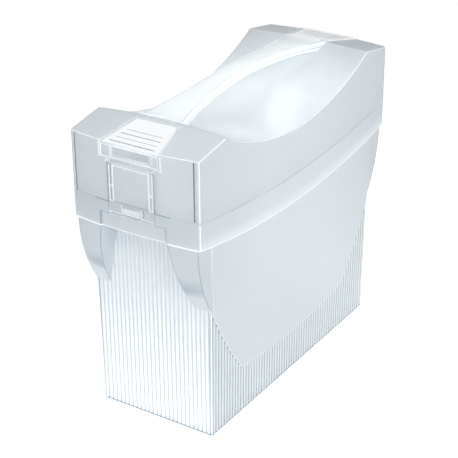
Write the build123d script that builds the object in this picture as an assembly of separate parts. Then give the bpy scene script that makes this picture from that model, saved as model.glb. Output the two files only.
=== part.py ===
"""Portable suspension-file box: a deep tray, a lift-off lid with a carrying bar, and swing latches.

Frame in millimetres: origin at the middle of the underside, +X along the box towards the rear
latch, +Z up. Both ends are alike, so every end feature is drawn at the front end (-X) and mirrored.
"""

from build123d import *

import os
from math import atan, cos, sin, sqrt

# ---- driving dimensions -------------------------------------------------------------------------
LENGTH = 392.0  # over the bowed ends of the collar
WIDTH = 153.0  # over the collar
END_BOW = 7.5  # the middle of each end stands this far beyond its corners
CORNER_RADIUS = 3.0
WALL = 2.2  # general moulded wall
FLOOR = 2.6

# Tray well: a drafted box, wide enough for A4 suspension files.
WELL_HALF_LENGTH, WELL_HALF_WIDTH = 164.0, 70.0  # outside, at the floor
WELL_DRAFT_X, WELL_DRAFT_Y = 0.005, 0.0125  # outward lean per mm of height
WELL_CORNER = 2.5
RAIL_TOP = 250.0  # the top edge of each end wall is a rail that file hooks hang on
RAIL_HALF_SPACING = 165.0  # middle of each rail, so the rails are 330 mm apart
RAIL_THICKNESS, RAIL_BEAD, RAIL_BEAD_HEIGHT = 2.4, 4.0, 4.0

# Levels that sag towards the middle of the long sides, as (height at x = 0, radius of the sag).
COLLAR_FOOT = (210.5, 959.0)
LID_SEAT = (243.0, 1124.0)
RIM_HEIGHT = 11.0  # of the tray's inner rim above the seat
RIM_CLEARANCE = 0.3  # between the rim and the lid's skirt

# Smooth leaf-shaped panel that stands proud of each ribbed long wall.
LEAF_PROUD = 1.0
LEAF_SHOULDER = (166.0, 151.0)  # where the outline leaves the vertical corner
LEAF_KNEE = (108.0, 56.0)
LEAF_MIDDLE = 47.0
LEAF_SIDE_BULGE = 6.0

# Horn-shaped corner pockets below the collar.
HORN_FOOT = 149.5
HORN_TOP_INNER, HORN_FOOT_INNER = 40.0, 53.0  # |y| of the inner side, at the collar and at the foot
HORN_INSET = 1.4  # behind the collar's face
HORN_SECTIONS = 7
HORN_WALL = 1.8

# Lid.
CAP_EDGE = 323.2  # height of the outer top edge of each end cap
RIDGE_X, RIDGE_Z = 142.7, 330.8  # the cap's ridge at the long sides
RIDGE_CROWN, RIDGE_PULL = 3.4, 2.4  # the ridge's middle is this much higher, and nearer the centre
SADDLE = 294.7  # lowest point of the saddle between the caps
LID_SKIN = 2.3
LID_WALL = 2.0
LID_EDGE_RADIUS, SEAM_RADIUS = 1.2, 0.6
SEAM_GAP = 0.4  # shadow line between the lid's skirt and the collar
GROOVE_Y, GROOVE_WIDTH, GROOVE_DEPTH = 70.6, 1.6, 0.9

# Latch and its bay in the end walls.
BAY_HALF, BAY_WALL = 27.3, 2.2
BAY_FLOOR_X = -191.0
BAY_TOP = 306.3
BAY_FOOT = 246.5
LATCH_HALF, LATCH_THICKNESS = 26.5, 2.2
LATCH_FOOT = 247.6
LATCH_X = -193.6  # middle of the latch plate
AXIS_X, AXIS_Z = -193.4, 303.2
BARREL_RADIUS, TRUNNION_RADIUS, TRUNNION_CLEARANCE = 1.9, 1.3, 0.05
TRUNNION_END = 29.0
PAD_HALF, PAD_TOP, LIP_HEIGHT = 12.0, 258.5, 2.4
PLATE_RADIUS = 0.5  # rounding of the clear plates
CATCH_HALF, CATCH_FOOT, CATCH_TOP, CATCH_PROUD = 12.0, 250.0, 256.5, 1.0
RECESS_HALF, RECESS_DEPTH = 39.6, 2.0
BAY_BACKING = 42.5  # half-width of the thicker, flat-backed wall behind the bay and the recess

# Label and its clear cover on each cap.
BED_DEPTH = 1.0
BED_START, CARD_START = -4.0, 2.2  # up the cap's slope from its front edge
CARD_FRONT_HALF, CARD_BACK_HALF, CARD_LENGTH, CARD_THICKNESS = 32.5, 22.8, 46.0, 0.4
COVER_MARGIN, COVER_THICKNESS, CARD_GAP = 3.4, 1.6, 0.1
APRON_HALF, APRON_THICKNESS, APRON_FOOT = 37.0, 1.7, 306.6
NOTCH_X, NOTCH_Z, NOTCH_RADIUS, NOTCH_HALF = -146.6, 336.4, 5.5, 15.0  # fingernail notch behind the cover

# Carrying bar.
BAR_END_X = 139.0
BAR_MIDDLE_TOP, BAR_END_TOP, BAR_ARCH_POWER = 346.4, 336.0, 1.5
BAR_MIDDLE_HALF, BAR_END_HALF, BAR_WAIST_POWER = 12.9, 26.4, 2.4
BAR_FLANK, BAR_WALL, BAR_CROWN, BAR_TUCK = 10.0, 2.4, 1.6, 1.0
BAR_SECTIONS = 9
BAR_EDGE_RADIUS = 1.6
TAB_X, TAB_THICKNESS, TAB_HALF, TAB_DROP, TAB_GAP = 126.0, 2.4, 9.0, 7.0, 0.3

BIG = 420.0  # reaches past the whole object
END_HALF = LENGTH / 2 - END_BOW
SIDE_HALF = WIDTH / 2


# ---- shared shapes ------------------------------------------------------------------------------
def plan(inset):
    """The collar's outline, seen from above, drawn inset by that much."""
    hx, hy = END_HALF - inset, SIDE_HALF - inset
    outline = Curve() + [
        Line((-hx, -hy), (hx, -hy)),
        ThreePointArc((hx, -hy), (hx + END_BOW, 0), (hx, hy)),
        Line((hx, hy), (-hx, hy)),
        ThreePointArc((-hx, hy), (-hx - END_BOW, 0), (-hx, -hy)),
    ]
    face = make_face(outline)
    return fillet(face.vertices(), max(CORNER_RADIUS - inset, 0.6))


def column(inset):
    """The outline as a tall solid, from the floor to above the lid."""
    return extrude(plan(inset), BIG)


def sag(level, x):
    middle, radius = level
    return middle + radius - sqrt(radius**2 - x**2)


def under(level, lift=0.0):
    """Everything below a sagging level, raised by lift."""
    middle, radius = level
    reach = LENGTH / 2 + 14
    high = sag(level, reach) + lift
    outline = Curve() + [
        ThreePointArc((-reach, high), (0, middle + lift), (reach, high)),
        Polyline((reach, high), (reach, -20), (-reach, -20), (-reach, high)),
    ]
    return extrude(Plane.XZ * make_face(outline), WIDTH, both=True)


def block(x0, x1, y0, y1, z0, z1):
    return Pos((x0 + x1) / 2, (y0 + y1) / 2, (z0 + z1) / 2) * Box(x1 - x0, y1 - y0, z1 - z0)


def fuse(*shapes):
    return Part() + [solid for shape in shapes for solid in shape.solids()]


def cut(shape, *tools):
    return shape - [solid for tool in tools for solid in tool.solids()]


def both_ends(shape):
    return fuse(shape, mirror(shape, about=Plane.YZ))


def all_corners(shape):
    return both_ends(fuse(shape, mirror(shape, about=Plane.XZ)))


def well(inset, z0, z1, side_bulge=0.0):
    """The drafted well between two heights, inset by that much; side_bulge moves its long sides out."""
    sections = []
    for z in (z0, z1):
        across = 2 * (WELL_HALF_LENGTH + WELL_DRAFT_X * z - inset)
        deep = 2 * (WELL_HALF_WIDTH + WELL_DRAFT_Y * z - inset + side_bulge)
        sections.append(Pos(0, 0, z) * RectangleRounded(across, deep, max(WELL_CORNER - inset, 0.6)))
    return loft(sections)


# ---- tray ---------------------------------------------------------------------------------------
def leaf():
    """The smooth panel's outline as a prism that crosses both long walls."""
    sx, sz = LEAF_SHOULDER
    kx, kz = LEAF_KNEE
    top = sag(COLLAR_FOOT, sx) + WALL
    middle_x, middle_z = (sx + kx) / 2, (sz + kz) / 2 - LEAF_SIDE_BULGE
    outline = Curve() + [
        Line((-sx, top), (-sx, sz)),
        ThreePointArc((-sx, sz), (-middle_x, middle_z), (-kx, kz)),
        ThreePointArc((-kx, kz), (0, LEAF_MIDDLE), (kx, kz)),
        ThreePointArc((kx, kz), (middle_x, middle_z), (sx, sz)),
        Line((sx, sz), (sx, top)),
        Line((sx, top), (-sx, top)),
    ]
    return extrude(Plane.XZ * make_face(outline), WIDTH, both=True)


def horn(shrink):
    """One corner pocket (front, -Y) as a solid, shrunk on every outer side by that much."""
    top = sag(COLLAR_FOOT, END_HALF)
    foot = HORN_FOOT + 2 * shrink
    wall_x = -(WELL_HALF_LENGTH + WELL_DRAFT_X * HORN_FOOT)
    back, lid = wall_x + (1.0 if shrink == 0 else 0.0), top + WALL + shrink
    sections = []
    for i in range(HORN_SECTIONS):
        y = HORN_TOP_INNER - 4 + (SIDE_HALF - HORN_TOP_INNER + 6) * i / (HORN_SECTIONS - 1)
        front = -END_HALF - END_BOW * (1 - (y / SIDE_HALF) ** 2) + HORN_INSET + shrink
        height, reach = top - foot, wall_x - front
        radius = (height**2 + reach**2) / (2 * reach)
        belly = front + radius - sqrt(radius**2 - (height / 2) ** 2)
        wire = Wire(
            [
                Edge.make_line((back, -y, lid), (front, -y, lid)),
                Edge.make_line((front, -y, lid), (front, -y, top)),
                Edge.make_three_point_arc(
                    (front, -y, top), (belly, -y, top - height / 2), (wall_x, -y, foot)
                ),
                Edge.make_line((wall_x, -y, foot), (back + 0.01, -y, foot)),
                Edge.make_line((back + 0.01, -y, foot), (back, -y, lid)),
            ]
        )
        sections.append(Face(wire))
    # The inner side leans outwards as it drops; the outer side follows the drafted long wall.
    inner_top, inner_foot = HORN_TOP_INNER + shrink, HORN_FOOT_INNER + shrink
    outer_top = WELL_HALF_WIDTH + WELL_DRAFT_Y * lid - shrink
    outer_foot = WELL_HALF_WIDTH + WELL_DRAFT_Y * HORN_FOOT - shrink
    corners = [(-inner_top, lid), (-inner_foot, HORN_FOOT), (-outer_foot, HORN_FOOT), (-outer_top, lid)]
    keep = extrude(Plane.YZ * make_face(Polyline(*corners, close=True)), -LENGTH / 2)
    return loft(sections) & keep


def tray_shell():
    below_shelf = under(COLLAR_FOOT, WALL)
    proud = well(0, 0, RAIL_TOP, LEAF_PROUD) & leaf()
    skin = fuse(well(0, 0, RAIL_TOP), proud) & below_shelf

    # Collar with its floor, the seat for the lid, and the rim inside the lid's skirt.
    rim_inset = LID_WALL + RIM_CLEARANCE
    collar = column(0) & cut(under(LID_SEAT), under(COLLAR_FOOT))
    collar = fillet([e for e in collar.edges() if abs(e.tangent_at(0.5).Z) < 0.5], SEAM_RADIUS)
    rim = column(rim_inset) & cut(under(LID_SEAT, RIM_HEIGHT), under(LID_SEAT, -WALL / 2))
    backing = block(-LENGTH, BAY_FLOOR_X + WALL, -BAY_BACKING, BAY_BACKING, 150, 300)
    lower_hollow = cut(column(WALL) & under(LID_SEAT, -WALL), below_shelf, both_ends(backing))
    rim_back = BAY_FLOOR_X + LID_WALL + RIM_CLEARANCE
    rim_deep = BAY_HALF + BAY_WALL + RIM_CLEARANCE
    margin = rim_deep + WALL
    rim_backing = block(-LENGTH, rim_back + WALL, -margin, margin, 150, 300)
    upper_hollow = cut(column(rim_inset + WALL), under(LID_SEAT, -2 * WALL), both_ends(rim_backing))
    shell = cut(fuse(skin, collar, rim, all_corners(horn(0))), lower_hollow, upper_hollow)
    shell = cut(shell, well(WALL, FLOOR, RAIL_TOP + 40), all_corners(horn(HORN_WALL)))

    # The lid's latch bay dips into the rim, and the latch plate into the collar.
    lid_bay = cut(block(-LENGTH, rim_back, -rim_deep, rim_deep, 200, 300), under(LID_SEAT))
    plate = block(-LENGTH, BAY_FLOOR_X, -BAY_HALF, BAY_HALF, BAY_FOOT, 300)
    recess = cut(block(-LENGTH, -150, -RECESS_HALF, RECESS_HALF, 150, BAY_FOOT), column(RECESS_DEPTH))
    shell = cut(shell, both_ends(lid_bay), both_ends(plate), both_ends(recess))

    # Rails: each end wall runs up between the collar's long sides and ends in a bead.
    reach = SIDE_HALF - WALL / 2
    foot = sag(COLLAR_FOOT, RAIL_HALF_SPACING) + WALL / 2
    half_wall, half_bead = RAIL_THICKNESS / 2, RAIL_BEAD / 2
    x = -RAIL_HALF_SPACING
    web = block(x - half_wall, x + half_wall, -reach, reach, foot, RAIL_TOP)
    bead = block(x - half_bead, x + half_bead, -reach, reach, RAIL_TOP - RAIL_BEAD_HEIGHT, RAIL_TOP)
    return fuse(shell, both_ends(fuse(web, bead)), both_ends(catch()))


def catch():
    front, back = BAY_FLOOR_X - CATCH_PROUD, BAY_FLOOR_X + 0.5
    return block(front, back, -CATCH_HALF, CATCH_HALF, CATCH_FOOT, CATCH_TOP)


# ---- lid ----------------------------------------------------------------------------------------
def top_profile(y, drop):
    """The lid's top in side view at that y: two sloping caps with the saddle between them."""
    crown = 1 - (y / SIDE_HALF) ** 2
    ridge_x, ridge_z = RIDGE_X - RIDGE_PULL * crown, RIDGE_Z + RIDGE_CROWN * crown
    edge_x = END_HALF + END_BOW * crown
    slope = (ridge_z - CAP_EDGE) / (edge_x - ridge_x)
    far_x = LENGTH / 2 + 12
    far_z = ridge_z - slope * (far_x - ridge_x)
    points = [(x, y, z - drop) for x, z in ((ridge_x, ridge_z), (far_x, far_z), (far_x, 180 + drop))]
    left = [(-x, y, z) for x, y, z in points]
    wire = Wire(
        [
            Edge.make_three_point_arc(left[0], (0, y, SADDLE - drop), points[0]),
            Edge.make_line(points[0], points[1]),
            Edge.make_line(points[1], points[2]),
            Edge.make_line(points[2], left[2]),
            Edge.make_line(left[2], left[1]),
            Edge.make_line(left[1], left[0]),
        ]
    )
    return Face(wire)


def top_solid(drop=0.0):
    reach = SIDE_HALF + 2
    return loft([top_profile(y, drop) for y in (-reach, -reach / 2, 0, reach / 2, reach)])


def cap_plane(rise):
    """Plane on the front cap's slope at its middle, with x up the slope and the given rise above it."""
    ridge_x, ridge_z = RIDGE_X - RIDGE_PULL, RIDGE_Z + RIDGE_CROWN
    angle = atan((ridge_z - CAP_EDGE) / (LENGTH / 2 - ridge_x))
    up_slope, normal = (cos(angle), 0, sin(angle)), (-sin(angle), 0, cos(angle))
    origin = (-LENGTH / 2 + normal[0] * rise, 0, CAP_EDGE + normal[2] * rise)
    return Plane(origin=origin, x_dir=up_slope, z_dir=normal)


def trapezoid(plane, start, length, front_half, back_half, thickness):
    """A plate on the cap's slope, wider at its front edge."""
    end = start + length
    corners = [(start, -front_half), (end, -back_half), (end, back_half), (start, front_half)]
    return extrude(plane * make_face(Polyline(*corners, close=True)), thickness)


def cover_half(at):
    """Half-width of the clear cover at that distance up the slope."""
    taper = (CARD_FRONT_HALF - CARD_BACK_HALF) / CARD_LENGTH
    return CARD_FRONT_HALF + COVER_MARGIN - taper * (at - CARD_START)


def label_bed():
    """Flat seat for the label and its cover, let into the cap."""
    length = CARD_START + CARD_LENGTH + COVER_MARGIN - BED_START
    start_half, end_half = cover_half(BED_START) + 0.3, cover_half(BED_START + length) + 0.3
    return trapezoid(cap_plane(-BED_DEPTH), BED_START, length + 0.3, start_half, end_half, 12)


def rounded_lid():
    """The lid's outside as a solid, with its edges rounded."""
    solid = cut(column(0) & top_solid(), under(LID_SEAT, SEAM_GAP))
    low = LID_SEAT[0] + 30
    top_edges = [e for e in solid.edges() if min(v.Z for v in e.vertices()) > low]
    solid = fillet(top_edges, LID_EDGE_RADIUS)
    foot_edges = [e for e in solid.edges() if max(v.Z for v in e.vertices()) < low - 8]
    return fillet(foot_edges, SEAM_RADIUS)


def lid_shell():
    outer = rounded_lid()
    skin = cut(outer, column(LID_WALL) & top_solid(LID_SKIN))
    under_bed = cut(block(-LENGTH / 2, -132, -40, 40, 290, 345) & outer, top_solid(LID_SKIN + 2.4))
    deep = BAY_HALF + BAY_WALL
    bay = block(-LENGTH / 2, BAY_FLOOR_X + LID_WALL, -deep, deep, 200, BAY_TOP + BAY_WALL) & outer
    shell = fuse(skin, both_ends(under_bed), both_ends(bay))

    hollow = block(-LENGTH, BAY_FLOOR_X, -BAY_HALF, BAY_HALF, 150, BAY_TOP)
    socket = rod(AXIS_X, AXIS_Z, TRUNNION_RADIUS + TRUNNION_CLEARANCE, TRUNNION_END + 0.2)
    seat_x, seat_y = -LENGTH / 2 + APRON_THICKNESS + 0.9, APRON_HALF + 0.3
    apron_seat = block(-LENGTH, seat_x, -seat_y, seat_y, APRON_FOOT - 0.3, 340)
    shell = cut(shell, both_ends(hollow), both_ends(socket))
    shell = cut(shell, both_ends(label_bed()), both_ends(apron_seat))

    half = GROOVE_WIDTH / 2
    groove = block(-LENGTH, -150, GROOVE_Y - half, GROOVE_Y + half, 200, 340)
    groove = cut(groove, column(GROOVE_DEPTH))
    half_x, half_y = TAB_THICKNESS / 2 + TAB_GAP, TAB_HALF + TAB_GAP
    tab_slot = block(-TAB_X - half_x, -TAB_X + half_x, -half_y, half_y, 290, 345)
    notch = rod(NOTCH_X, NOTCH_Z, NOTCH_RADIUS, NOTCH_HALF)
    return cut(shell, all_corners(groove), both_ends(tab_slot), both_ends(notch))


def rod(x, z, radius, reach):
    """A round bar along Y, reaching that far to each side."""
    return Pos(x, 0, z) * Rot(90, 0, 0) * Cylinder(radius, 2 * reach)


# ---- carrying bar -------------------------------------------------------------------------------
def bar_section(x, inset):
    """Cross-section of the bar at x: a crowned top with flanks that lean in a little."""
    share = min(abs(x) / BAR_END_X, 1.0)
    half = BAR_MIDDLE_HALF + (BAR_END_HALF - BAR_MIDDLE_HALF) * share**BAR_WAIST_POWER - inset
    top = BAR_MIDDLE_TOP - (BAR_MIDDLE_TOP - BAR_END_TOP) * share**BAR_ARCH_POWER - inset
    shoulder, foot = top - BAR_CROWN, top - BAR_FLANK - (0.0 if inset == 0 else 6.0)
    wire = Wire(
        [
            Edge.make_three_point_arc((x, -half, shoulder), (x, 0, top), (x, half, shoulder)),
            Edge.make_line((x, half, shoulder), (x, half - BAR_TUCK, foot)),
            Edge.make_line((x, half - BAR_TUCK, foot), (x, BAR_TUCK - half, foot)),
            Edge.make_line((x, BAR_TUCK - half, foot), (x, -half, shoulder)),
        ]
    )
    return Face(wire)


def bar_body(inset, reach):
    stations = [reach * (2 * i / (BAR_SECTIONS - 1) - 1) for i in range(BAR_SECTIONS)]
    return loft([bar_section(x, inset) for x in stations])


def carry_handle():
    bar = bar_body(0, BAR_END_X)
    long_edges = [e for e in bar.edges() if e.length > BAR_END_X and e.center().Z > BAR_END_TOP]
    hollow = bar_body(BAR_WALL, BAR_END_X - BAR_WALL)
    bar = cut(fillet(long_edges, BAR_EDGE_RADIUS), hollow, top_solid(-0.02))
    half = TAB_THICKNESS / 2
    foot, head = saddle_height(TAB_X) - TAB_DROP, BAR_END_TOP - BAR_WALL / 2
    return fuse(bar, both_ends(block(-TAB_X - half, -TAB_X + half, -TAB_HALF, TAB_HALF, foot, head)))


def saddle_height(x):
    """Height of the saddle at the middle of the lid."""
    crown_x, crown_z = RIDGE_X - RIDGE_PULL, RIDGE_Z + RIDGE_CROWN
    depth = crown_z - SADDLE
    radius = (crown_x**2 + depth**2) / (2 * depth)
    return SADDLE + radius - sqrt(radius**2 - x**2)


# ---- latch, label and cover ---------------------------------------------------------------------
def latch():
    """Clear swing latch: a plate that hangs from a barrel and ends in a raised finger pad."""
    half_thick = LATCH_THICKNESS / 2
    plate = block(LATCH_X - half_thick, LATCH_X + half_thick, -LATCH_HALF, LATCH_HALF, LATCH_FOOT, AXIS_Z)
    barrel = rod(AXIS_X, AXIS_Z, BARREL_RADIUS, LATCH_HALF)
    trunnions = rod(AXIS_X, AXIS_Z, TRUNNION_RADIUS, TRUNNION_END)
    plate = rounded_x(plate, PLATE_RADIUS)
    pad = rounded_x(block(-LENGTH / 2, LATCH_X, -PAD_HALF, PAD_HALF, LATCH_FOOT, PAD_TOP), PLATE_RADIUS)
    lip = block(-LENGTH / 2, LATCH_X, -LATCH_HALF, LATCH_HALF, LATCH_FOOT, LATCH_FOOT + LIP_HEIGHT)
    return fuse(plate, barrel, trunnions, pad, lip)


def rounded_x(shape, radius):
    """Rounds the edges that bound the faces square to X."""
    return fillet([e for e in shape.edges() if abs(e.tangent_at(0.5).X) < 0.5], radius)


def label_card():
    return trapezoid(
        cap_plane(-BED_DEPTH), CARD_START, CARD_LENGTH, CARD_FRONT_HALF, CARD_BACK_HALF, CARD_THICKNESS
    )


def label_cover():
    """Clear window over the card, with an apron that turns down over the cap's front edge."""
    bed = cap_plane(-BED_DEPTH + 0.02)
    start, end = 0.4, CARD_START + CARD_LENGTH + COVER_MARGIN - 0.4
    clear = CARD_THICKNESS + CARD_GAP
    window = trapezoid(bed, start, end - start, cover_half(start), cover_half(end), clear + COVER_THICKNESS)
    window = fillet(window.faces().sort_by(Axis.Z)[-1].edges(), PLATE_RADIUS)
    pocket = trapezoid(
        bed, CARD_START - 0.3, CARD_LENGTH + 0.6, CARD_FRONT_HALF + 0.4, CARD_BACK_HALF + 0.4, clear
    )
    front = -LENGTH / 2
    top = CAP_EDGE - BED_DEPTH + clear + COVER_THICKNESS
    apron = block(front, front + APRON_THICKNESS, -APRON_HALF, APRON_HALF, APRON_FOOT, top)
    apron = rounded_x(apron, PLATE_RADIUS)
    ears = block(front, front + 2.4, APRON_HALF - 1.6, APRON_HALF, APRON_FOOT, top - 3)
    return cut(fuse(window, apron, ears, mirror(ears, about=Plane.XZ)), pocket)


def save(shape, name):
    solids = shape.solids()
    kept = solids[0] if len(solids) == 1 else Compound(children=list(solids))
    export_step(kept, f"parts/{name}.step")


def main():
    os.makedirs("parts", exist_ok=True)
    save(tray_shell(), "tray_shell")
    save(lid_shell(), "lid_shell")
    save(carry_handle(), "carry_handle")
    for name, shape in (("latch", latch()), ("label_card", label_card()), ("label_cover", label_cover())):
        save(shape, f"front_{name}")
        save(mirror(shape, about=Plane.YZ), f"rear_{name}")


main()
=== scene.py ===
import math

import bmesh
import bpy
from mathutils import Matrix, Vector


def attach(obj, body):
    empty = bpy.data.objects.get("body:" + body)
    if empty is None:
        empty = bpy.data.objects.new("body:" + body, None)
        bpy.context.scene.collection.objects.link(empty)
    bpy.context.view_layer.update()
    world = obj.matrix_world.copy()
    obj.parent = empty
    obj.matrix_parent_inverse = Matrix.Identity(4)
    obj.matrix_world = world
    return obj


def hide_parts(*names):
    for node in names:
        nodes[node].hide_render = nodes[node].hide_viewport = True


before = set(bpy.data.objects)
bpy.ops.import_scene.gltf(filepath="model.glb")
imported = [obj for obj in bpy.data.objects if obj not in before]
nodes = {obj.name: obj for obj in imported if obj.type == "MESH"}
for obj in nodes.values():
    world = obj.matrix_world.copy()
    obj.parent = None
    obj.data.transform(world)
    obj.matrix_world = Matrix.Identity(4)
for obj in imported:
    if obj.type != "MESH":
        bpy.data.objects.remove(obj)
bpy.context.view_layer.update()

MM = 0.001

# ---- sizes in millimetres, shared by the meshes and the materials -------------------------------
WELL_X, WELL_Y = 164.0, 70.0  # half length and half width of the tray's well, at the floor
DRAFT_X, DRAFT_Y = 0.005, 0.0125  # outward lean of its walls, per mm of height
PITCH, FLUTE_WIDTH, FLUTE_PROUD = 5.34, 4.4, 0.9

# The collar's foot and the lid's joint line sag: height at the middle, and radius of the sag.
COLLAR_FOOT, COLLAR_RADIUS = 210.5, 959.0
SEAM, SEAM_RADIUS = 243.2, 1124.0

BAR_END_X = 139.0
BAR_MIDDLE_TOP, BAR_ARCH, BAR_ARCH_POWER = 346.4, 10.4, 1.5
BAR_MIDDLE_HALF, BAR_FLARE, BAR_WAIST_POWER = 12.9, 13.5, 2.4
BAR_CROWN = 1.6
BAR_LINE_IN, BAR_LINE_WIDTH = 3.7, 1.0  # top grooves: distance inside the edge
BAR_FLANK_DOWN, BAR_FLANK_WIDTH = 6.6, 0.9  # flank grooves: distance below the top
BAR_GROOVE_DEPTH, BAR_GROOVE_REACH = 0.45, 132.0

LID_GROOVE_Y = 70.6
CAP_FRONT_X, CAP_FRONT_Z = 196.0, 323.2  # a cap's front edge
CAP_ANGLE = math.atan((334.2 - CAP_FRONT_Z) / (CAP_FRONT_X - 140.3))
CARD_FACE = -0.6  # the card's upper face, measured from the cap's slope


# ---- node-material helpers ----------------------------------------------------------------------
class Graph:
    """Short-hand for building one node material."""

    def __init__(self, name):
        self.material = bpy.data.materials.new(name)
        self.material.use_nodes = True
        self.tree = self.material.node_tree
        self.tree.nodes.clear()
        self.output = self.add("ShaderNodeOutputMaterial")

    def add(self, kind, inputs=None, **settings):
        node = self.tree.nodes.new(kind)
        for key, value in settings.items():
            setattr(node, key, value)
        for key, value in (inputs or {}).items():
            self.put(node.inputs[key], value)
        return node

    def put(self, socket, value):
        if isinstance(value, bpy.types.NodeSocket):
            self.tree.links.new(value, socket)
        else:
            socket.default_value = value

    def noise(self, scale, detail=2.0, stretch=(1.0, 1.0, 1.0)):
        place = self.add("ShaderNodeTexCoord")
        mapping = self.add(
            "ShaderNodeMapping", {"Vector": place.outputs["Object"], "Scale": stretch}
        )
        return self.add(
            "ShaderNodeTexNoise",
            {"Vector": mapping.outputs["Vector"], "Scale": scale, "Detail": detail},
        ).outputs["Fac"]

    def span(self, value, low, high):
        node = self.add("ShaderNodeMapRange", {"Value": value, "To Min": low, "To Max": high})
        return node.outputs["Result"]

    def mix(self, factor, a, b):
        node = self.add("ShaderNodeMix", data_type="RGBA")
        self.put(node.inputs["Factor"], factor)
        self.put(node.inputs[6], a)
        self.put(node.inputs[7], b)
        return node.outputs[2]

    def bump(self, height, strength, distance, normal=None):
        inputs = {"Height": height, "Strength": strength, "Distance": distance}
        if normal is not None:
            inputs["Normal"] = normal
        return self.add("ShaderNodeBump", inputs).outputs["Normal"]

    def place(self, axis, size=False):
        """Object coordinate along that axis, in metres, or its size without the sign."""
        spot = self.add("ShaderNodeTexCoord").outputs["Object"]
        value = self.add("ShaderNodeSeparateXYZ", {0: spot}).outputs[axis]
        return self.math("ABSOLUTE", value) if size else value

    def math(self, operation, *values):
        return self.add("ShaderNodeMath", dict(enumerate(values)), operation=operation).outputs[0]

    def ramp(self, value, start, end, low=0.0, high=1.0):
        inputs = {"Value": value, "From Min": start, "From Max": end, "To Min": low, "To Max": high}
        return self.add("ShaderNodeMapRange", inputs).outputs["Result"]

    def rounded_normal(self, radius=0.0014):
        return self.add("ShaderNodeBevel", {"Radius": radius}, samples=6).outputs["Normal"]

    def edges(self, rounded):
        """1 along every sharp edge, 0 on open faces."""
        plain = self.add("ShaderNodeNewGeometry").outputs["Normal"]
        dot = self.add("ShaderNodeVectorMath", {0: rounded, 1: plain}, operation="DOT_PRODUCT")
        return self.ramp(dot.outputs["Value"], 0.995, 0.90)

    def facing(self, axis):
        """How squarely the surface faces along that axis, 0 to 1."""
        return self.math("ABSOLUTE", self.normal_along(axis))

    def normal_along(self, axis):
        normal = self.add("ShaderNodeNewGeometry").outputs["Normal"]
        return self.add("ShaderNodeSeparateXYZ", {0: normal}).outputs[axis]

    def both(self, a, b):
        return self.math("MULTIPLY", a, b)

    def less(self, value):
        return self.math("SUBTRACT", 1.0, value)

    def between(self, value, low, high, blend=0.08):
        """1 from low to high, with a blend inside each limit."""
        return self.both(self.ramp(value, low, low + blend), self.ramp(value, high, high - blend))

    def rounds(self):
        """1 along the rounded edges of the long sides, the ends and the upright corners."""
        x, y, z = self.facing("X"), self.facing("Y"), self.facing("Z")
        lying = self.both(self.between(y, 0.28, 0.97), self.ramp(z, 0.15, 0.25))
        upright = self.both(self.between(y, 0.58, 0.88), self.ramp(z, 0.25, 0.15))
        at_end = self.both(self.between(x, 0.35, 0.96), self.ramp(y, 0.35, 0.25))
        at_end = self.both(at_end, self.ramp(self.place("X", size=True), 0.176, 0.180))
        return self.math("MAXIMUM", at_end, self.math("MAXIMUM", lying, upright))

    def above(self, level, radius):
        """Height above a level, in mm, that sags towards the middle of the box."""
        x = self.place("X")
        rise = self.both(self.both(x, x), 0.5 / (radius * MM))
        return self.math("SUBTRACT", self.place("Z"), self.math("ADD", rise, level * MM))

    def ends_shade(self):
        """A little painted shade on the end faces and towards the ends of the long sides."""
        sides = self.both(self.ramp(self.place("X", size=True), 0.07, 0.18), self.facing("Y"))
        return self.math("MAXIMUM", self.both(sides, 0.09), self.both(self.facing("X"), 0.01))

    def quiet_seam(self):
        """0.25 along the joint of lid and collar, 1 elsewhere."""
        distance = self.math("ABSOLUTE", self.above(SEAM, SEAM_RADIUS))
        return self.ramp(distance, 0.0012, 0.0022, 0.25, 1.0)

    def finish(self, surface):
        self.tree.links.new(surface, self.output.inputs["Surface"])
        return self.material


def frosted(name, tone, shape, see=0.5, lift=0.07, edge_light=0.58):
    """Frosted polypropylene: a rough see-through body, soft white scatter and painted edge
    highlights.

    see is how much light passes, lift a small painted glow (emission) that stands for light
    scattered many times inside the wall, and shape a function that paints light, shade and
    highlights onto the piece.
    """
    glow, roughness = 0.3, 0.2
    g = Graph(name)
    color = g.mix(g.noise(9.0, 2.0), [c * 0.985 for c in tone] + [1.0], list(tone) + [1.0])
    rounded = g.rounded_normal()
    edge = g.math("MAXIMUM", g.edges(rounded), g.rounds())
    # The piece's own function paints light, shade and highlights here.
    color, lift, edge = shape(g, color, lift, edge)
    glow_color = g.mix(0.6, color, (0.95, 0.95, 0.95, 1))
    normal = g.bump(g.noise(160.0, 3.0), 0.06, 0.0006, rounded)
    normal = g.bump(g.noise(2600.0, 2.0), 0.08, 0.0002, normal)
    rough = g.span(g.noise(45.0, 3.0), roughness - 0.04, roughness + 0.04)
    body = g.add(
        "ShaderNodeBsdfPrincipled",
        {
            "Base Color": color, "Roughness": rough, "IOR": 1.45, "Normal": normal,
            "Transmission Weight": see, "Coat Weight": 0.5, "Coat Roughness": 0.12,
            "Emission Color": glow_color, "Emission Strength": lift,
        },
    )
    soft = g.add("ShaderNodeBsdfTranslucent", {"Color": color, "Normal": normal})
    glowing = g.add("ShaderNodeMixShader", {0: glow, 1: body.outputs[0], 2: soft.outputs[0]})
    # Painted highlight: a whitish, glowing shader mixed in along the edges.
    edge_highlight = g.add(
        "ShaderNodeBsdfPrincipled",
        {
            "Base Color": (0.97, 0.98, 0.99, 1), "Roughness": 0.25, "IOR": 1.5, "Normal": normal,
            "Coat Weight": 1.0, "Coat Roughness": 0.1,
            "Emission Color": (0.94, 0.97, 1.0, 1), "Emission Strength": 0.5,
        },
    )
    share = g.both(edge, edge_light)
    whole = g.add("ShaderNodeMixShader", {0: share, 1: glowing.outputs[0], 2: edge_highlight.outputs[0]})
    return g.finish(whole.outputs[0])


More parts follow.
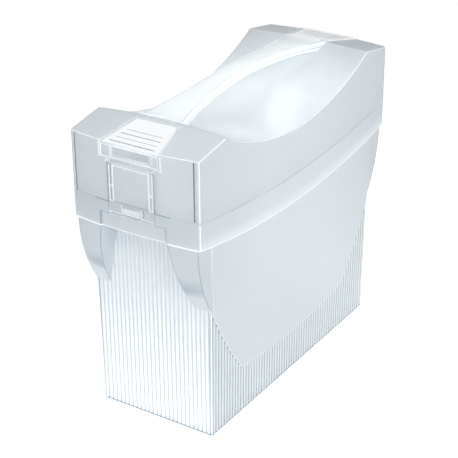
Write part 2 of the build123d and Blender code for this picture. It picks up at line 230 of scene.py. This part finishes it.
# Painted shade colours: DEEP for dark lines and shaded places, VALLEY between the flutes.
DEEP = (0.36, 0.47, 0.56, 1)  # blue-grey of lines and shaded places
VALLEY = (0.42, 0.48, 0.52, 1)  # greyer, between the flutes


def tray_painted_light(g, color, lift, edge):
    """Painted light on the tray: painted highlights on the flute crests, painted shade in their
    valleys, and a painted glow on the end walls that is strongest towards the foot.
    """
    height = g.place("Z")
    x, y = g.place("X", size=True), g.place("Y", size=True)

    # How far a point stands outside the plain drafted long wall or end wall.
    side = g.math("SUBTRACT", y, g.math("MULTIPLY_ADD", height, DRAFT_Y, WELL_Y * MM))
    end = g.math("SUBTRACT", x, g.math("MULTIPLY_ADD", height, DRAFT_X, WELL_X * MM))
    on_side = g.both(g.between(side, -0.0003, 0.00099, 0.00003), g.ramp(x, 0.1645, 0.1642))
    on_end = g.both(g.between(end, -0.0003, 0.00099, 0.00003), g.ramp(y, 0.0715, 0.0712))
    on_end_low = g.both(on_end, g.ramp(height, 0.18, 0.11, 0.4, 1.0))

    # Painted glow on the end walls, strongest near the foot.
    end_wall = g.both(g.facing("X"), g.ramp(end, 0.0012, 0.0010))
    lift = g.math("MULTIPLY_ADD", g.ramp(height, 0.22, 0.02, 0.06, 0.40), end_wall, lift)
    # Painted shade in the flute valleys and a painted highlight on their crests.
    for on, over, depth, shine in ((on_side, side, 0.74, 0.10), (on_end_low, end, 0.20, 0.08)):
        valley = g.both(g.ramp(over, 0.0006, 0.0002), on)
        crest = g.both(g.ramp(over, 0.0006, 0.00085), on)
        color = g.mix(g.both(valley, depth), color, VALLEY)
        lift = g.both(lift, g.less(valley))
        lift = g.math("MULTIPLY_ADD", crest, shine, lift)
    edge = g.both(edge, g.less(g.math("MAXIMUM", on_side, on_end)))

    # A painted reflection: a soft bright streak just above the foot of the collar.
    above_foot = g.above(COLLAR_FOOT, COLLAR_RADIUS)
    reflection_streak = g.both(g.ramp(above_foot, 0.014, 0.002), g.ramp(y, 0.0750, 0.0755))
    reflection_streak = g.both(reflection_streak, g.ramp(above_foot, -0.001, 0.0))
    lift = g.math("MULTIPLY_ADD", reflection_streak, 0.16, lift)

    # Under the collar the corner horns get painted dark outlines (painted shade) instead of the
    # painted edge highlight, and so does the recess in the collar, but the collar's own foot keeps
    # a painted highlight.
    horn = g.both(g.ramp(x, 0.1652, 0.1655), g.ramp(above_foot, 0.0, -0.001))
    recess = g.both(g.ramp(y, 0.046, 0.044), g.ramp(x, 0.180, 0.182))
    outside = g.math("MAXIMUM", g.ramp(x, 0.182, 0.184), g.ramp(y, 0.0745, 0.0750))
    foot_line = g.both(g.ramp(g.math("ABSOLUTE", above_foot), 0.0013, 0.0007), outside)
    dark_outline_zone = g.both(g.math("MAXIMUM", horn, recess), g.less(foot_line))
    dark_edge = g.both(dark_outline_zone, edge)

    collar_end = g.both(g.facing("X"), g.ramp(above_foot, 0.0, 0.001))
    corner = g.both(g.between(side, -0.0040, -0.0026, 0.0003), g.ramp(end, 0.0012, 0.0010))
    corner = g.both(g.both(corner, g.ramp(above_foot, 0.0, -0.002)), g.facing("X"))
    foot = g.ramp(height, 0.0024, 0.0016)

    # Painted shade: a deeper tone towards the ends, on the horns and the collar's ends, the dark
    # outlines, a dark line beside each upright corner and a dark line along the tray's foot.
    color = g.mix(g.ends_shade(), color, DEEP)
    color = g.mix(g.both(horn, 0.06), color, DEEP)
    color = g.mix(g.both(collar_end, 0.09), color, DEEP)
    color = g.mix(dark_edge, color, DEEP)
    color = g.mix(g.both(corner, 0.5), color, DEEP)
    color = g.mix(g.both(foot, 0.7), color, DEEP)
    lift = g.both(g.both(lift, g.less(dark_edge)), g.less(foot))
    edge = g.math("MAXIMUM", g.both(edge, g.less(dark_outline_zone)), foot_line)
    return color, lift, g.both(edge, g.quiet_seam())


def bar_painted_light(g, color, lift, edge):
    """Painted highlight bands along the bar's edges, and painted shade in the grooves inside them
    and on its flanks.
    """
    share = g.math("DIVIDE", g.place("X", size=True), BAR_END_X * MM)
    flare = g.math("POWER", share, BAR_WAIST_POWER)
    arch = g.math("POWER", share, BAR_ARCH_POWER)
    half = g.math("MULTIPLY_ADD", flare, BAR_FLARE * MM, BAR_MIDDLE_HALF * MM)
    top = g.math("MULTIPLY_ADD", arch, -BAR_ARCH * MM, BAR_MIDDLE_TOP * MM)
    inside = g.math("SUBTRACT", g.place("Y", size=True), half)
    below = g.math("SUBTRACT", top, g.place("Z"))
    up = g.ramp(g.facing("Z"), 0.4, 0.7)
    highlight_band = g.both(g.ramp(inside, -0.0036, -0.0026), up)
    line = g.both(g.between(inside, -0.0044, -0.0030, 0.0005), up)
    flank = g.both(g.between(below, 0.0058, 0.0074, 0.0005), g.ramp(g.facing("Y"), 0.5, 0.9))
    lines = g.math("MAXIMUM", line, flank)
    color = g.mix(g.both(lines, 0.38), color, DEEP)
    lift = g.both(g.math("MULTIPLY_ADD", highlight_band, 0.22, lift), g.ramp(lines, 0.0, 1.0, 1.0, 0.35))
    return color, lift, g.both(edge, g.less(lines))


def lid_painted_light(g, color, lift, edge):
    """Painted light on the lid's upward faces, most of all over the saddle; painted shade along its
    grooves and the sides of the latch bay.
    """
    along, across, height = g.place("X", size=True), g.place("Y", size=True), g.place("Z")
    # Painted glow on upward faces: most over the saddle, a little on the caps.
    up = g.ramp(g.normal_along("Z"), 0.3, 0.7)
    saddle = g.ramp(along, 0.138, 0.06, 0.0, 0.29)
    cap = g.ramp(along, 0.1415, 0.1435, 0.0, 0.10)
    lift = g.math("MULTIPLY_ADD", up, g.math("ADD", saddle, cap), lift)
    color = g.mix(g.ends_shade(), color, DEEP)

    # Painted shade: dark lines along the end grooves and the sides of the latch bay.
    groove = g.math("COMPARE", across, LID_GROOVE_Y * MM, 0.0009)
    groove = g.both(groove, g.math("GREATER_THAN", along, 0.186))
    groove = g.both(groove, g.math("LESS_THAN", height, 0.3215))
    in_bay = g.both(g.math("GREATER_THAN", along, 0.188), g.between(height, 0.250, 0.304, 0.001))
    bay_side = g.both(g.between(across, 0.0262, 0.0282, 0.0003), in_bay)
    line = g.math("MAXIMUM", groove, g.both(bay_side, 0.8))
    edge = g.both(edge, g.both(g.less(line), g.quiet_seam()))
    return g.mix(line, color, DEEP), g.both(lift, g.less(line)), edge


def clear(name, tint):
    """Clear glossy plastic: see-through, milkier at a glance, with a painted highlight on its
    edges.
    """
    roughness, seen = 0.05, 0.13
    g = Graph(name)
    rounded = g.rounded_normal(0.0008)
    edge = g.edges(rounded)
    normal = g.bump(g.noise(60.0, 2.0), 0.04, 0.001, rounded)
    rough = g.span(g.noise(220.0, 3.0), roughness * 0.7, roughness * 1.6)
    outside = g.less(g.add("ShaderNodeNewGeometry").outputs["Backfacing"])
    glance = g.both(g.add("ShaderNodeFresnel", {"IOR": 1.5}).outputs[0], outside)
    alpha = g.math("MAXIMUM", g.ramp(edge, 0.0, 1.0, seen, 0.92), g.both(glance, 0.5))
    body = g.add(
        "ShaderNodeBsdfPrincipled",
        {
            "Base Color": g.mix(edge, list(tint) + [1.0], (0.98, 0.99, 1.0, 1)),
            "Roughness": rough, "IOR": 1.46, "Alpha": alpha, "Normal": normal,
            "Coat Weight": 0.6, "Coat Roughness": 0.03,
            "Emission Color": (0.94, 0.97, 1.0, 1),
            "Emission Strength": g.ramp(edge, 0.0, 1.0, 0.0, 0.55),
        },
    )
    return g.finish(body.outputs[0])


def card(name):
    """White card: fine paper fibre, and a painted glow (emission) that brightens it."""
    g = Graph(name)
    fibre = g.noise(900.0, 4.0, (1.0, 3.0, 1.0))
    color = g.mix(fibre, (0.90, 0.90, 0.91, 1), (0.94, 0.94, 0.95, 1))
    body = g.add(
        "ShaderNodeBsdfPrincipled",
        {
            "Base Color": color, "Roughness": 0.75, "Normal": g.bump(fibre, 0.15, 0.0002),
            "Emission Color": color, "Emission Strength": 0.41,
        },
    )
    return g.finish(body.outputs[0])


def ink(name):
    """Printed lines, a little uneven."""
    g = Graph(name)
    color = g.mix(g.noise(700.0, 3.0), (0.05, 0.05, 0.055, 1), (0.10, 0.10, 0.11, 1))
    rough = g.span(g.noise(90.0), 0.5, 0.7)
    body = g.add("ShaderNodeBsdfPrincipled", {"Base Color": color, "Roughness": rough})
    return g.finish(body.outputs[0])


FROST = (0.92, 0.95, 0.97)
MATERIALS = {
    "ink": ink("printing_ink"),
    "tray": frosted("frosted_tray_plastic", FROST, tray_painted_light),
    "lid": frosted("frosted_lid_plastic", FROST, lid_painted_light),
    # The bar has a stronger painted glow (lift) and a brighter painted edge highlight (edge_light).
    "bar": frosted(
        "frosted_bar_plastic", (0.96, 0.98, 0.99), bar_painted_light, see=0.35, lift=0.31, edge_light=0.9
    ),
    "clear": clear("clear_plastic", (0.90, 0.94, 0.96)),
    "card": card("label_paper"),
}


# ---- mesh helpers -------------------------------------------------------------------------------
def new_piece(name, mesh, body, material, stands_for=()):
    piece = bpy.data.objects.new(name, mesh)
    bpy.context.scene.collection.objects.link(piece)
    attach(piece, body)
    if stands_for:
        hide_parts(*stands_for)
    wear(piece, material)


def wear(obj, material):
    obj.data.materials.clear()
    obj.data.materials.append(material)


def welded_mesh(node, name):
    """The CAD node's mesh with its split vertices joined, so that it is one closed surface."""
    mesh = nodes[node].data.copy()
    mesh.name = name
    work = bmesh.new()
    work.from_mesh(mesh)
    bmesh.ops.remove_doubles(work, verts=work.verts, dist=2e-6)
    work.to_mesh(mesh)
    work.free()
    if mesh.has_custom_normals:
        mesh.attributes.remove(mesh.attributes["custom_normal"])
    return mesh


def solid_mesh(name, rings_list):
    """Closed solids, each skinned over a list of rings that have the same number of points."""
    work = bmesh.new()
    for rings in rings_list:
        rows = [[work.verts.new(p) for p in ring] for ring in rings]
        count = len(rows[0])
        for low, high in zip(rows, rows[1:]):
            for i in range(count):
                j = (i + 1) % count
                work.faces.new((low[i], low[j], high[j], high[i]))
        work.faces.new(rows[0][::-1])
        work.faces.new(rows[-1])
    bmesh.ops.recalc_face_normals(work, faces=work.faces)
    mesh = bpy.data.meshes.new(name)
    work.to_mesh(mesh)
    work.free()
    return mesh


def combined(mesh, tool, operation="UNION"):
    """mesh joined with (or cut by) tool, as a new mesh."""
    base = bpy.data.objects.new("base", mesh)
    other = bpy.data.objects.new("tool", tool)
    for obj in (base, other):
        bpy.context.scene.collection.objects.link(obj)
    change = base.modifiers.new("combine", "BOOLEAN")
    change.operation, change.solver, change.object = operation, "MANIFOLD", other
    bpy.context.view_layer.update()
    graph = bpy.context.evaluated_depsgraph_get()
    made = bpy.data.meshes.new_from_object(base.evaluated_get(graph), depsgraph=graph)
    for obj in (base, other):
        bpy.data.objects.remove(obj)
    return made


def smooth(mesh, angle=32):
    mesh.shade_smooth()
    mesh.set_sharp_from_angle(angle=math.radians(angle))


# ---- tray: flutes on every wall -----------------------------------------------------------------
def arc_through(x, a, b, c):
    """Height at x of the circle through three points (x, z)."""
    (ax, az), (bx, bz), (cx, cz) = a, b, c
    d = 2 * (ax * (bz - cz) + bx * (cz - az) + cx * (az - bz))
    aa, bb, cc = ax**2 + az**2, bx**2 + bz**2, cx**2 + cz**2
    ux = (aa * (bz - cz) + bb * (cz - az) + cc * (az - bz)) / d
    uz = (aa * (cx - bx) + bb * (ax - cx) + cc * (bx - ax)) / d
    radius = math.hypot(ax - ux, az - uz)
    side = -1 if bz < uz else 1
    return uz + side * math.sqrt(max(radius**2 - (x - ux) ** 2, 0))


def side_flute_top(x):
    """Where a flute ends under the smooth panel of a long wall."""
    if abs(x) < 108:
        return arc_through(x, (-108, 56), (0, 47), (108, 56))
    return arc_through(abs(x), (108, 56), (137, 97.5), (166, 151))


def end_flute_top(y):
    """Where a flute ends under the collar or at a corner horn."""
    if abs(y) < 39:
        return 224.9
    if abs(y) < 53:
        return 230 - 80 * (abs(y) - 40) / 13
    return 149.6


def flute(across, top, place):
    """Rings of one flute: a half-round ridge with tapered ends, rooted in the wall."""
    half, root = FLUTE_WIDTH / 2, -0.6
    foot_taper = ((0.7, 0.0), (1.2, 0.7), (2.2, 1.0))
    head_taper = ((top - 1.2, 1.0), (top - 0.2, 0.8), (top + 0.7, 0.1))
    rings = []
    for z, share in foot_taper + head_taper:
        ring = [(across - half, z, root)]
        for k in range(9):
            turn = math.pi * k / 8
            proud = share * FLUTE_PROUD * math.sin(turn)
            ring.append((across - half * math.cos(turn), z, proud))
        ring.append((across + half, z, root))
        rings.append([place(*p) for p in ring])
    return rings


def on_side(sign):
    return lambda u, z, h: Vector((u, sign * (WELL_Y + DRAFT_Y * z + h), z)) * MM


def on_end(sign):
    return lambda u, z, h: Vector((sign * (WELL_X + DRAFT_X * z + h), u, z)) * MM


def tray_flutes():
    rings_list = []
    for sign in (-1, 1):
        for i in range(-30, 31):
            rings_list.append(flute(i * PITCH, side_flute_top(i * PITCH), on_side(sign)))
        for i in range(-13, 13):
            y = (i + 0.5) * PITCH * 0.985
            rings_list.append(flute(y, end_flute_top(y), on_end(sign)))
    return solid_mesh("flutes", rings_list)


tray_mesh = combined(welded_mesh("tray_shell", "tray"), tray_flutes())
smooth(tray_mesh)


# ---- carrying bar: fine grooves along its edges -------------------------------------------------
def bar_grooves():
    """Grooves inside the bar's two long edges and along its flanks."""
    clear_by = 1.5  # the cutting tool runs this far outside the surface
    rings_list = []
    for sign in (-1, 1):
        over, beside = [], []
        for k in range(61):
            x = BAR_GROOVE_REACH * (k / 30 - 1)
            share = abs(x) / BAR_END_X
            half = BAR_MIDDLE_HALF + BAR_FLARE * share**BAR_WAIST_POWER
            top = BAR_MIDDLE_TOP - BAR_ARCH * share**BAR_ARCH_POWER
            across, flank, down = half - BAR_LINE_IN, half - 0.6, top - BAR_FLANK_DOWN
            crown = top - BAR_CROWN * (across / half) ** 2
            wide, tall = BAR_LINE_WIDTH / 2, BAR_FLANK_WIDTH / 2
            over.append(bar_ring(
                x, sign, across - wide, across + wide, crown - BAR_GROOVE_DEPTH, crown + clear_by
            ))
            beside.append(bar_ring(
                x, sign, flank - BAR_GROOVE_DEPTH, flank + clear_by, down - tall, down + tall
            ))
        rings_list += [over, beside]
    return solid_mesh("bar_grooves", rings_list)


def bar_ring(x, sign, y0, y1, z0, z1):
    ring = [(y0, z0), (y1, z0), (y1, z1), (y0, z1)]
    return [Vector((x, sign * y, z)) * MM for y, z in ring]


bar_mesh = combined(welded_mesh("carry_handle", "bar"), bar_grooves(), "DIFFERENCE")
smooth(bar_mesh)


# ---- latches, label covers and labels -----------------------------------------------------------
def box(end, near, far, y0, y1, z0, z1):
    """A box at one end: near and far are distances along X, end is -1 (front) or 1 (rear)."""
    ring = [(near, y0), (far, y0), (far, y1), (near, y1)]
    return [[Vector((end * x, y, z)) * MM for x, y in ring] for z in (z0, z1)]


def both_sides(end, near, far, y0, y1, z0, z1):
    return [box(end, near, far, y0, y1, z0, z1), box(end, near, far, -y1, -y0, z0, z1)]


def latch_mesh(end, node):
    """The latch with its raised rails, cross ticks and the grip grooves of its finger pad."""
    face = 194.5
    raised = both_sides(end, face, 195.1, 21.0, 21.9, 262.5, 300.2)
    raised += both_sides(end, face, 195.1, 25.2, 26.2, 262.5, 300.2)
    raised += [box(end, face, 195.05, -20.99, 20.99, 299.2, 300.1)]
    for z in (261.0, 276.8):
        raised += both_sides(end, face, 195.3, 21.4, 26.3, z, z + 1.1)
    grooves = [box(end, 195.5, 197, -10.4, 10.4, z, z + 0.9) for z in (250.9, 253.2, 255.5)]
    mesh = welded_mesh(node, node + "_detail")
    for part in raised:
        mesh = combined(mesh, solid_mesh("raised", [part]))
    return combined(mesh, solid_mesh("grooves", grooves), "DIFFERENCE")


def cover_mesh(end, node):
    """The clear cover with a shallow panel in its apron."""
    panel = box(end, 195.45, 197, -33.4, 33.4, 308.4, 320.4)
    return combined(welded_mesh(node, node + "_detail"), solid_mesh("panel", [panel]), "DIFFERENCE")


def on_cap(end, up, y, height):
    """A point on a cap, up its slope from the front edge, at that height above the slope."""
    x = -CAP_FRONT_X + up * math.cos(CAP_ANGLE) - height * math.sin(CAP_ANGLE)
    z = CAP_FRONT_Z + up * math.sin(CAP_ANGLE) + height * math.cos(CAP_ANGLE)
    return Vector((-end * x, y, z)) * MM


def ruled_lines(end):
    """Four ruled lines on the card, heavier and longer towards the front."""
    lines = []
    places = ((6.0, 26.9, 0.9), (13.3, 24.7, 0.5), (20.6, 23.5, 0.8), (27.8, 21.0, 0.5))
    for up, half, thick in places:
        low, high = up - thick / 2, up + thick / 2
        outline = ((low, -half), (high, -half), (high, half), (low, half))
        heights = (CARD_FACE - 0.02, CARD_FACE + 0.03)
        lines.append([[on_cap(end, u, y, height) for u, y in outline] for height in heights])
    return solid_mesh("ruled_lines", lines)


# CAD nodes that stay visible get a material; the rest are replaced by the pieces below.
for node, material in (
    ("tray_shell", "tray"),
    ("lid_shell", "lid"),
    ("carry_handle", "bar"),
    ("front_latch", "clear"),
    ("rear_latch", "clear"),
    ("front_label_cover", "clear"),
    ("rear_label_cover", "clear"),
    ("front_label_card", "card"),
    ("rear_label_card", "card"),
):
    wear(nodes[node], MATERIALS[material])

new_piece("tray", tray_mesh, "tray", MATERIALS["tray"], ["tray_shell"])
new_piece("carry_bar", bar_mesh, "lid", MATERIALS["bar"], ["carry_handle"])
for end, side in ((-1, "front"), (1, "rear")):
    for part, body, make in (("latch", "latch", latch_mesh), ("label_cover", "cover", cover_mesh)):
        mesh = make(end, f"{side}_{part}")
        smooth(mesh, 25)
        new_piece(
            f"{side}_clear_{part}", mesh, f"{side}_{body}", MATERIALS["clear"],
            [f"{side}_{part}"],
        )
    new_piece(f"{side}_ruled_lines", ruled_lines(end), "lid", MATERIALS["ink"])


# ---- stage, light and camera --------------------------------------------------------------------
def make_stage():
    g = Graph("studio_floor")
    body = g.add(
        "ShaderNodeBsdfPrincipled",
        {
            "Base Color": (0.9, 0.9, 0.9, 1), "Roughness": 0.9,
            "Emission Color": (1, 1, 1, 1), "Emission Strength": 0.66,
        },
    )
    material = g.finish(body.outputs[0])
    mesh = bpy.data.meshes.new("studio_floor")
    mesh.from_pydata([(-6, -6, 0), (6, -6, 0), (6, 6, 0), (-6, 6, 0)], [], [(0, 1, 2, 3)])
    floor = bpy.data.objects.new("studio_floor", mesh)
    floor.location.z = -0.0005
    bpy.context.scene.collection.objects.link(floor)
    wear(floor, material)


def area_light(name, location, target, size, power):
    light = bpy.data.lights.new(name, "AREA")
    light.shape = "RECTANGLE"
    light.size, light.size_y = size
    light.energy = power
    obj = bpy.data.objects.new(name, light)
    obj.location = location
    obj.rotation_euler = (Vector(target) - Vector(location)).to_track_quat("-Z", "Y").to_euler()
    bpy.context.scene.collection.objects.link(obj)


def make_world(low, high):
    """A studio that is bright overhead and greyer round the horizon."""
    world = bpy.data.worlds.new("studio_world")
    world.use_nodes = True
    tree = world.node_tree
    place = tree.nodes.new("ShaderNodeTexCoord")
    split = tree.nodes.new("ShaderNodeSeparateXYZ")
    ramp = tree.nodes.new("ShaderNodeMapRange")
    tree.links.new(place.outputs["Generated"], split.inputs[0])
    tree.links.new(split.outputs["Z"], ramp.inputs["Value"])
    for key, value in (("From Min", 0.05), ("From Max", 0.8), ("To Min", low), ("To Max", high)):
        ramp.inputs[key].default_value = value
    tree.links.new(ramp.outputs["Result"], tree.nodes["Background"].inputs["Strength"])
    bpy.context.scene.world = world


def make_camera():
    """A long lens, seen from the front left corner and a little above the lid."""
    azimuth, elevation, roll = math.radians(-56.96), math.radians(26.7), math.radians(-0.44)
    distance, aim = 1.5777, Vector((0, 0, 0.15525))
    slip_right, slip_up = 0.0116, 0.0016  # centres the box as the framing needs
    back = Vector((
        math.sin(azimuth) * math.cos(elevation),
        -math.cos(azimuth) * math.cos(elevation),
        math.sin(elevation),
    ))
    side = Vector((math.cos(azimuth), math.sin(azimuth), 0))
    up = back.cross(side)
    right = side * math.cos(roll) + up * math.sin(roll)
    top = up * math.cos(roll) - side * math.sin(roll)
    data = bpy.data.cameras.new("camera")
    data.sensor_width = 36.0
    data.lens = 112.2
    data.clip_start, data.clip_end = 0.05, 50
    camera = bpy.data.objects.new("camera", data)
    turn = Matrix((right, top, back)).transposed()
    spot = aim + back * distance - right * slip_right - top * slip_up
    camera.matrix_world = Matrix.Translation(spot) @ turn.to_4x4()
    bpy.context.scene.collection.objects.link(camera)
    bpy.context.scene.camera = camera


make_stage()
make_world(0.34, 1.02)
area_light("key", (-1.0, -1.2, 1.3), (0, 0, 0.15), (0.6, 0.6), 15)
area_light("top", (0.3, 0.4, 2.4), (0, 0, 0.2), (2.2, 2.2), 25)
make_camera()
scene = bpy.context.scene
scene.view_settings.view_transform = "Standard"
scene.view_settings.look = "None"
